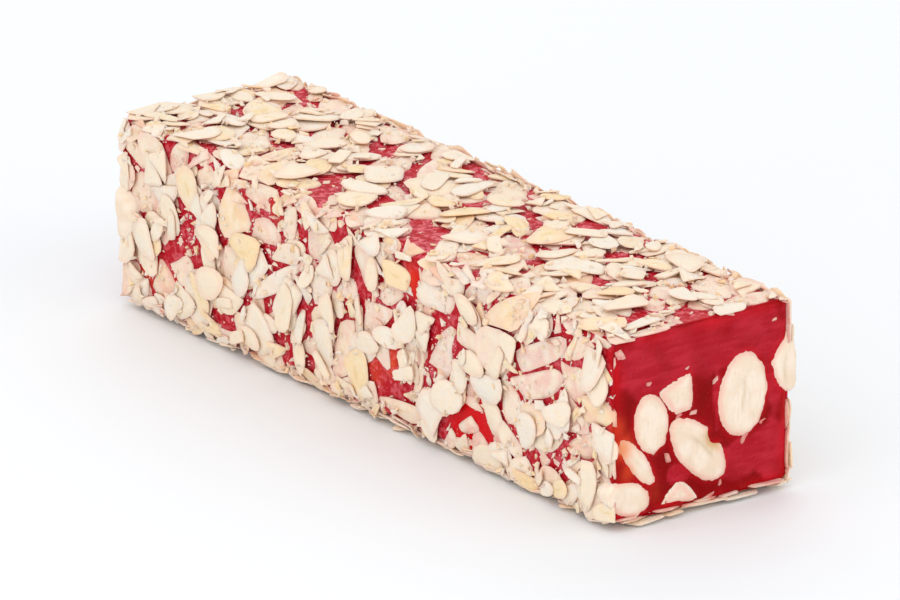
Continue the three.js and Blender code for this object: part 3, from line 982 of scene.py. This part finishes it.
def grain_tree():
    """Scatters grains over a skin, more where `take` is high, each turned and sized at random."""
    tree = Tree("scatter_grains", Shapes="Collection", Finish="Material", Density="Float",
                Smallest="Float", Largest="Float", Seed="Int")
    given, random = tree.given, "FunctionNodeRandomValue"
    factors = {0: tree.read("take"), 1: given["Density"]}
    density = tree.add("ShaderNodeMath", factors, operation="MULTIPLY")[0]
    points = tree.add("GeometryNodeDistributePointsOnFaces", {
        "Mesh": given["Geometry"], "Density": density, "Seed": given["Seed"]})["Points"]
    points = tree.add("GeometryNodeStoreNamedAttribute", {
        "Geometry": points, "Name": "tone", "Value": tree.add(random, {"Seed": 11})[1]})[0]
    which = tree.add(random, {5: 1000, "Seed": 5}, data_type="INT")[2]
    turn = tree.add(random, {1: (FULL_TURN,) * 3}, data_type="FLOAT_VECTOR")[0]
    size = tree.add(random, {2: given["Smallest"], 3: given["Largest"], "Seed": 3})[1]
    tree.set_shapes(points, which, turn, size)
    return tree


# ---- the coat ----

# The large slices that the photograph shows: where along the bar, where across the face (towards the
# far side on the top face, up from the jelly's middle on the long side), length, width, lean in
# degrees, and tone from greyish white (0) to yellow (1).
SEEN_ON_TOP = [
    (-41, -6, 10, 5.6, -35, 0.3), (-33, -6.4, 8.6, 6, -50, 0.7), (-56.5, 9, 6, 5, 0, 0.8),
    (-48, 6, 8.6, 4.8, -40, 0.4), (-36, 4.4, 8.6, 5, -50, 0.4), (-46, 12.6, 9, 5, -35, 0.5),
    (-30, 12.4, 9.6, 5, -35, 0.35), (0.5, 9.6, 12, 7, -25, 0.55), (-15.6, 8.2, 9, 4, -40, 0.3),
    (-20, 13.4, 8, 4, -35, 0.4), (-21.6, 3.2, 7.4, 3.6, -40, 0.45), (20, -2.6, 12.6, 5.2, -28, 0.3),
    (19, -10.4, 6.2, 5.4, -10, 0.8), (30.6, -6.6, 8, 4, -60, 0.75), (50, 9.6, 11, 6, -25, 0.4),
    (44.6, 13.6, 8, 3.6, -20, 0.5), (36.4, 9.4, 7, 4, -35, 0.45), (47, 2.4, 8, 4, -25, 0.35),
    (51, -1.8, 7, 3.8, -30, 0.5), (47, -11, 8.6, 4, -40, 0.45), (33.4, -12.6, 8, 3.8, -35, 0.4),
    (39.6, -8.6, 7, 3.4, -40, 0.5), (-8, -3.2, 11.6, 3.8, -12, 0.45), (-4.6, -13, 9, 4.4, -35, 0.4),
    (9.6, -2.4, 8, 3.6, -30, 0.5), (-31, -13.4, 9, 4, -35, 0.5), (-50, -9.4, 8, 4.4, -40, 0.5),
    (59.4, -8.4, 10.4, 2.2, 88, 0.3), (57.4, 10.8, 8.6, 5, 75, 0.45), (28.4, 11.4, 8, 4, -50, 0.7),
]
SEEN_ON_SIDE = [
    (19.4, 0.8, 10.4, 8.8, 20, 0.1), (18, 8.6, 9.4, 6, 25, 0.15), (-31.6, 7.2, 9.4, 7.6, 80, 0.75),
    (-32.4, -2, 8, 4.4, 85, 0.4), (-21.4, -0.6, 15, 3.2, 30, 0.15), (-4.6, -5.8, 11, 6, 55, 0.55),
    (-43.6, 0.6, 7, 6, 60, 0.5), (-44.6, -5.8, 6, 5, 30, 0.5), (-50.4, -8.2, 6.4, 6.6, 30, 0.7),
    (36.6, 11.6, 14, 5, 32, 0.8), (28.4, 12.2, 8.6, 3.6, 30, 0.2), (43.4, 7.4, 13.6, 4, 24, 0.2),
    (42.6, 2.2, 13.4, 4.2, 22, 0.25), (51, 5, 7, 5.8, 0, 0.45), (52.6, 11, 7, 3, 35, 0.5),
    (9.6, -11.2, 13, 3.4, 5, 0.65), (13.8, -5.6, 8.6, 1.7, 72, 0.65), (3.2, 1, 8.4, 5.4, 60, 0.3),
    (6.6, 6.4, 6.4, 4.8, 20, 0.4), (0.4, 8.4, 7.4, 4.6, 85, 0.35), (25.6, -9, 5, 2.8, 15, 0.3),
    (26.4, -5.4, 5.6, 2.2, 10, 0.4), (35.4, -2.2, 8, 5.6, -50, 0.3), (36, -8.4, 7, 4, -55, 0.35),
    (47.6, -7.8, 5, 4.4, 0, 0.1), (43.4, -8, 4.6, 4.4, 60, 0.5), (53.4, -3.4, 9, 5, 5, 0.6),
    (57, 2.6, 8, 4.8, 15, 0.9), (27, 4.2, 8, 3.8, -15, 0.3), (-55, 4, 8, 6.6, 10, 0.55),
    (-56.6, 9.6, 6, 4.6, 0, 0.6), (-46, 11.8, 6.4, 4.6, 30, 0.5), (-39, 10.6, 6, 3.6, 25, 0.6),
    (-25, 11.6, 9, 4.6, 10, 0.55), (-24.4, 6.6, 8, 4.2, 10, 0.35), (-17.6, 9.8, 6.2, 3.2, 85, 0.45),
    (-11.6, 8.6, 6, 4, 85, 0.4), (-19, 4.4, 9, 3.8, 30, 0.3), (-10, 1.8, 6, 4.6, 20, 0.15),
    (-4, 3, 6, 4.6, 30, 0.2), (-23.6, -7.4, 6, 3, 0, 0.5), (-13, -8.4, 6, 3.2, 20, 0.5),
]
# Small bits dragged over a cut by the knife: across, up from the bar's foot, length, width, lean.
DRAGGED_BITS = [
    (2.6, 19.4, 1.5, 0.9, 70), (-1.4, 15.3, 1.7, 1.0, 20), (11, 11.3, 1.1, 0.8, 0),
    (8, 9.6, 2.2, 1.2, 35), (-6, 9.4, 2.0, 1.2, -50), (0.9, 1.7, 3.4, 1.1, 10),
    (-14.6, 26.8, 2.2, 1.4, -60), (-4, 15.4, 1.3, 0.8, 0), (13.2, 26.4, 1.2, 0.7, 30),
    (-9.4, 21.4, 0.9, 0.6, 0), (3.4, 3.6, 1.0, 0.6, 50), (-2.6, 22.4, 0.8, 0.5, 0),
]
BIT_SUNK, BIT_THICK, BIT_TONE, BIT_STAIN = 0.22, 0.4, 0.3, 1.5  # stained right through
Group = namedtuple("Group", "kinds past_cut soaked")
GROUPS = {  # kinds of slice, how far past the cut they may stand, how red the jelly stains their foot, with painted red bounce light in the gaps
    "whole_slices": Group(("whole", "chipped"), 0.1, 0.7),
    "small_slices": Group(("petal",), 0.5, 0.8),
    "half_slices": Group(("half", "crescent"), 0.3, 0.8),
    "broken_slices": Group(("shard", "sliver"), 0.9, 1.0),
    "nut_chips": Group(("chip",), 0.7, 1.0),
}
BED = {"petal": 16, "half": 8, "shard": 20, "chip": 16}  # small slices that lie under the seen ones
FOOT_PRESSED = 0.35  # how much deeper the slices under the bar are pressed in
HIDDEN_FOOT = 1.1  # the foot's slices, as a share of those on the top
LEVEL = 0.02  # slices are trimmed level this far above the floor
SHARP = math.radians(48)  # edges of slices that bend more than this are shaded sharp
RIDGE_COUNTS = {
    "top": {"petal": 26, "half": 14, "shard": 32, "sliver": 8, "chip": 20},
    "foot": {"petal": 20, "half": 10, "shard": 20},
}
RIDGE_SPREAD = 0.7  # how far the slices on a long edge may turn away from it


def long_faces():
    """The block's four long faces, each still without a slice."""
    _, wide, high = JELLY_HALF
    middle = JELLY_MIDDLE
    faces = {
        "top": Face("top", middle + (0, 0, high), (0, 1, 0), (0, 0, 1), wide),
        "shown": Face("shown", middle - (0, wide, 0), (0, 0, 1), (0, -1, 0), high),
        "far": Face("far", middle + (0, wide, 0), (0, 0, -1), (0, 1, 0), high),
        "foot": Face("foot", middle - (0, 0, high), (0, -1, 0), (0, 0, -1), wide),
    }
    faces["shown"].most_bare = faces["far"].most_bare = 0.3
    faces["foot"].ceiling = np.minimum(faces["foot"].ceiling, COAT_DEPTH - 0.03)
    faces["foot"].height -= FOOT_PRESSED
    return faces


def lay_coat(faces, shapes):
    """Every slice of the coat: a bed, then those seen in the photograph, then the rest over their rims."""
    layer = Layer(shapes, seed=400)
    for name in ("top", "shown"):
        layer.lay_random(faces[name], BED, tries=1)
    layer.lay_seen(faces["top"], SEEN_ON_TOP)
    layer.lay_seen(faces["shown"], SEEN_ON_SIDE)
    for name, face in faces.items():
        share = face.half_wide / faces["top"].half_wide * (HIDDEN_FOOT if name == "foot" else 1)
        counts = {kind_name: round(kind.count * share) for kind_name, kind in KINDS.items()}
        if name in ("top", "shown"):
            counts = {kind_name: count - BED.get(kind_name, 0) for kind_name, count in counts.items()}
        layer.lay_random(face, counts, steepest=FOOT_LEAN if name == "foot" else None)
    for upper, side in (("top", "shown"), ("top", "far"), ("foot", "shown"), ("foot", "far")):
        ridge = Ridge(faces[upper], faces[side])
        if upper == "foot":
            ridge.ceiling -= RIDGE_SPARE
        layer.lay_random(ridge, RIDGE_COUNTS[upper], tries=8, spread=RIDGE_SPREAD)
    lay_dragged_bits(layer)
    return layer.laid


def lay_dragged_bits(layer):
    """The same bits on both cuts, each cut seen from outside."""
    for end in (1, -1):
        across, out = np.array([0.0, end, 0.0]), np.array([float(end), 0.0, 0.0])
        stand = Matrix((across, (0, 0, 1), out)).transposed()
        for y, z, long, wide, lean in DRAGGED_BITS:
            number, _ = layer.pick("chip")
            turn = (stand @ Matrix.Rotation(math.radians(lean), 3, "Z")).to_euler()
            place, size = out * (CUT - BIT_SUNK) + across * y + (0, 0, z), (long, wide, BIT_THICK)
            layer.laid["chip"].append(Laid(place, tuple(turn), size, number, BIT_TONE, BIT_STAIN))


def coat_piece(name, group, shapes, laid, tree, finish):
    """One piece of the coat: all slices of a group, trimmed where the knife went."""
    things, rows = [], []
    for kind_name in group.kinds:
        first = len(things)
        things += [shape.thing for shape in shapes[kind_name]]
        rows += [row._replace(shape=first + row.shape) for row in laid[kind_name]]
    for number, thing in enumerate(things):
        thing.name = f"shape_{number:03d}"
    base = new_object(name + "_points", [row.place for row in rows], [])
    paint(base, **{field: [getattr(row, field) for row in rows] for field in Laid._fields[1:]})
    piece = tree.grow(name, base, things, Finish=finish)
    for end in (1, -1):
        trim(piece, (end * (CUT + group.past_cut), 0, 0), (end, 0, 0))
    trim(piece, (0, 0, LEVEL), (0, 0, -1))
    piece.data.shade_smooth()
    piece.data.set_sharp_from_angle(angle=SHARP)
    # red near the jelly: partly stain, partly painted red bounce light in the gaps between slices
    paint(piece, soaked=group.soaked * smooth_step(above_jelly(points_of(piece)), 0.14, -0.22))
    return piece


def trim(piece, place, away):
    """Takes off all past a plane and closes each slice: at the two cuts, and where the bar stands."""
    with edited(piece.data) as body:
        everything = body.verts[:] + body.edges[:] + body.faces[:]
        cut = bmesh.ops.bisect_plane(body, geom=everything, plane_co=Vector(place) * MM,
                                     plane_no=away, clear_outer=True)["geom_cut"]
        bmesh.ops.holes_fill(body, edges=[item for item in cut if isinstance(item, bmesh.types.BMEdge)])


# ---- crumbs and starch ----

def crumb_shapes(label, count, seed, flat):
    """Uneven little splinters about a millimetre across."""
    rng = np.random.default_rng(seed)
    shapes = []
    for number in range(count):
        thing = new_object(f"{label}_{number}", [], [])
        with edited(thing.data) as body:
            bmesh.ops.create_cube(body, size=0.8 * MM)
            for vertex in body.verts:
                vertex.co += Vector(rng.uniform(-0.28, 0.28, 3) * MM)
                vertex.co.z *= flat
        corners = points_of(thing) * MM
        paint(thing, rim=np.full(len(corners), 0.7), kernel=corners, stain=np.full(len(corners), 0.35))
        shapes.append(thing)
    return shapes


def coat_skin(faces, name, take):
    """The coat's surface as sheets over the faces, whose `take` says how much settles there."""
    mesh = bpy.data.meshes.new(name)
    with edited(mesh) as body:
        for face in faces:
            rows = np.flatnonzero(np.abs(face.u) < CUT - 0.4)[::2]
            columns = np.flatnonzero(np.abs(face.v) < face.half_wide - 0.3)[::2]
            height = face.height[np.ix_(rows, columns)]
            points = [face.point(face.u[i], face.v[j], h)
                      for i, line in zip(rows, height) for j, h in zip(columns, line)]
            skin = new_object("skin_" + face.name, points, grid_faces(len(rows), len(columns)))
            paint(skin, take=take(height, face.bare[np.ix_(rows, columns)]).ravel())
            body.from_mesh(skin.data)
    return bpy.data.objects.new(name, mesh)


def crumbs_settle(height, bare):
    return np.where(bare, 0.25, 0.04 + smooth_step(height, 1.1, -0.2))


def starch_settles(height, bare):
    """Mostly on the jelly, whether a slice covers it or not."""
    return np.where(height < 0.1, 1.0, 0.06)


# ---- the nuts at the cuts ----

SMEARED = 0.2  # how far the knife spreads a soft nut's face past the frame's outline
FRAGMENT = 6.0  # a nut whose face is smaller than this is a fragment with worn corners
NUT_CELL = 0.3  # size of the faces of a nut


def smoothed_nut(node, rounds, finish):
    """The frame's nut as a fine even mesh with its facets worn smooth."""
    piece = link(bpy.data.objects.new(node.replace("_nut_", "_kernel_"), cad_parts[node].data.copy()))
    with edited(piece.data) as body:
        bmesh.ops.remove_doubles(body, verts=body.verts, dist=0.01 * MM)
    remesh = piece.modifiers.new("fine", "REMESH")
    remesh.mode, remesh.voxel_size = "VOXEL", NUT_CELL * MM
    piece.modifiers.new("soften", "SMOOTH").iterations = rounds
    make_plain(piece)
    piece.data.materials.clear()
    piece.data.materials.append(finish)
    return piece


def make_cut_nut(node, finish):
    """A nut in the jelly, whose face the knife has levelled and dragged over."""
    end, outline = 1 if node.startswith("front") else -1, outline_on_cut(node)
    piece = smoothed_nut(node, 40 if np.ptp(outline, axis=0).max() < FRAGMENT else 14, finish)
    points = points_of(piece)
    depth = CUT - points[:, 0] * end
    on_face, near_face = depth < 0.25, smooth_step(depth, 1.2, 0.4)
    points[:, 1:] = stretched_to(outline, points[:, 1:], on_face)
    rim = np.exp(-(distance_to_outline(points[:, 1:], outline) / RIM_BAND) ** 2)
    points += vertex_rows(piece, "normal") * 0.05 * ripple(points, 1.4, seed=21, octaves=2)[:, None]
    outward = unit(points[:, 1:] - points[:, 1:].mean(0))
    ragged = smooth_step(ripple(points, 5, seed=23), 0.0, 0.5)
    uneven = 0.2 * ripple(points, 2.4, seed=22, octaves=2) + 0.45 * ragged * ripple(points, 0.9, seed=24)
    points[:, 1:] += outward * (uneven * rim)[:, None]
    points[on_face, 0] += end * (0.12 - 0.1 * rim[on_face])
    piece.data.vertices.foreach_set("co", (points * MM).astype(np.float32).ravel())
    piece.data.update()
    piece.data.shade_smooth()
    in_jelly, dents = smooth_step(above_jelly(points), 0.3, -0.3), dented(outline)
    hollow = np.exp(-(distance_to_outline(points[:, 1:], dents) / 0.9) ** 2) if len(dents) else 0 * rim
    paint(piece, rim=rim * in_jelly * near_face, hollow=hollow * near_face,
          seam=seam_between_halves(points, outline), glow=0.9 * glow_of_nuts(points))
    return piece


def main_axes(outline):
    """The directions across and along an outline, as columns."""
    spread = outline - outline.mean(0)
    return np.linalg.eigh(spread.T @ spread)[1]


def stretched_to(outline, places, on_face):
    """Makes up for what smoothing took: the nut's face is again as long and wide as the outline."""
    axes = main_axes(outline)
    own, wanted = places @ axes, outline @ axes
    low, high = own[on_face].min(0), own[on_face].max(0)
    wanted_low, wanted_high = wanted.min(0) - SMEARED, wanted.max(0) + SMEARED
    return (wanted_low + (own - low) * (wanted_high - wanted_low) / (high - low)) @ axes.T


def seam_between_halves(points, outline):
    """Where the kernel's two halves meet: a short fine line along the middle of a large nut."""
    along = main_axes(outline)[:, 1]
    long = np.abs((outline - outline.mean(0)) @ along).max()
    from_middle = points[:, 1:] - outline.mean(0)
    u, w = from_middle @ along, from_middle @ (along[::-1] * (1, -1))
    wavy = w + 0.35 * ripple(points, 2.5, seed=25)
    seam = np.exp(-(wavy / 0.28) ** 2) * smooth_step(np.abs(u), 0.55 * long, 0.25 * long)
    return seam * smooth_step(long, 4.2, 6.2)


def dented(outline):
    """The points of an outline that stand back from a string drawn tight round it."""
    turn = np.linspace(0, FULL_TURN, 180, endpoint=False)
    reach = outline @ np.stack([np.cos(turn), np.sin(turn)])
    return outline[(reach.max(0) - reach).min(1) > 0.3]


# ---- stage ----

FLOOR_HALF = 4000


def make_stage():
    """A plain pale floor under soft light from all sides."""
    finish = Finish("pale_floor", Roughness=0.6, Specular_IOR_Level=0.2)
    shade = finish.ramp(finish.clouds(300, detail=1), 0.3, 0.7)
    colour = finish.mix(shade, (0.86, 0.875, 0.89), (0.88, 0.895, 0.91))
    corners = [(x * FLOOR_HALF, y * FLOOR_HALF, 0) for x, y in ((-1, -1), (1, -1), (1, 1), (-1, 1))]
    floor = link(new_object("floor", corners, [(0, 1, 2, 3)], finish.dressed(colour)))
    world = bpy.data.worlds.new("soft_white")
    bpy.context.scene.world = world
    world.use_nodes = True
    world.node_tree.nodes["Background"].inputs["Color"].default_value = (0.955, 0.97, 0.99, 1)
    world.node_tree.nodes["Background"].inputs["Strength"].default_value = 0.85
    soft_light("key", (0.3, -0.7, 0.65), 1.4, 4.9, (1.0, 0.985, 0.96))
    soft_light("fill", (0.9, 0.35, 0.45), 0.9, 1.7, (1.0, 0.99, 0.97))
    soft_light("back", (-0.7, 0.5, 0.6), 0.9, 1.6, (1.0, 1.0, 1.0))
    bpy.context.scene.view_settings.view_transform = "Standard"


def soft_light(name, place, size, power, colour):
    """A square softbox, size and place in metres, that faces the bar."""
    lamp = bpy.data.lights.new(name, "AREA")
    lamp.size, lamp.energy, lamp.color = size, power, colour
    thing = link(bpy.data.objects.new(name, lamp))
    thing.location = place
    thing.rotation_euler = (-Vector(place)).to_track_quat("-Z", "Y").to_euler()


# The camera stands where the photograph's stood, and its longer lens frames the one bar.
CAMERA_PLACE = Vector((1.690, -1.259, 0.777))
CAMERA_AIM = Vector((0.0, 0.0, 0.0147))
LENS, SENSOR = 612, 36


def make_camera():
    camera = link(bpy.data.objects.new("camera", bpy.data.cameras.new("camera")))
    camera.data.lens, camera.data.sensor_width = LENS, SENSOR
    camera.data.clip_start, camera.data.clip_end = 0.1, 20
    camera.location = CAMERA_PLACE
    camera.rotation_euler = (CAMERA_AIM - CAMERA_PLACE).to_track_quat("-Z", "Y").to_euler()
    bpy.context.scene.camera = camera


# ---- the whole bar ----

def hand_over(piece, slot, *nodes):
    """Puts the piece on the frame's root body and hides the frame nodes it stands for. Its slot, the name
    of its finish, is not used.
    """
    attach(piece, "root")
    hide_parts(*nodes)


def make_bar():
    sliced, cut_face, starch = sliced_nut_finish(), cut_nut_finish(), starch_finish()
    hand_over(make_jelly(jelly_finish()), "jelly", "jelly_block")
    for node in cut_nuts(1) + cut_nuts(-1):
        hand_over(make_cut_nut(node, cut_face), "cut_hazelnut", node)

    faces = long_faces()
    shapes = {kind_name: make_shapes(kind_name, 50 + number) for number, kind_name in enumerate(KINDS)}
    laid, slices, grains = lay_coat(faces, shapes), slice_tree(), grain_tree()
    for name, group in GROUPS.items():
        piece = coat_piece(name, group, shapes, laid, slices, sliced)
        hand_over(piece, "sliced_hazelnut", "slice_coat")
    open_faces = [face for name, face in faces.items() if name != "foot"]
    crumbs = grains.grow("nut_crumbs", coat_skin(open_faces, "crumb_skin", crumbs_settle),
                         crumb_shapes("crumb", 6, 91, 0.5), Finish=sliced,
                         Density=2.6e5, Smallest=0.4, Largest=1.2, Seed=7)
    hand_over(crumbs, "sliced_hazelnut", "slice_coat")
    powder = grains.grow("starch_grains", coat_skin(open_faces, "starch_skin", starch_settles),
                         crumb_shapes("grain", 3, 92, 0.8), Finish=starch,
                         Density=9e5, Smallest=0.1, Largest=0.24, Seed=9)
    hand_over(powder, "sliced_hazelnut", "slice_coat")


make_camera()
make_stage()
make_bar()
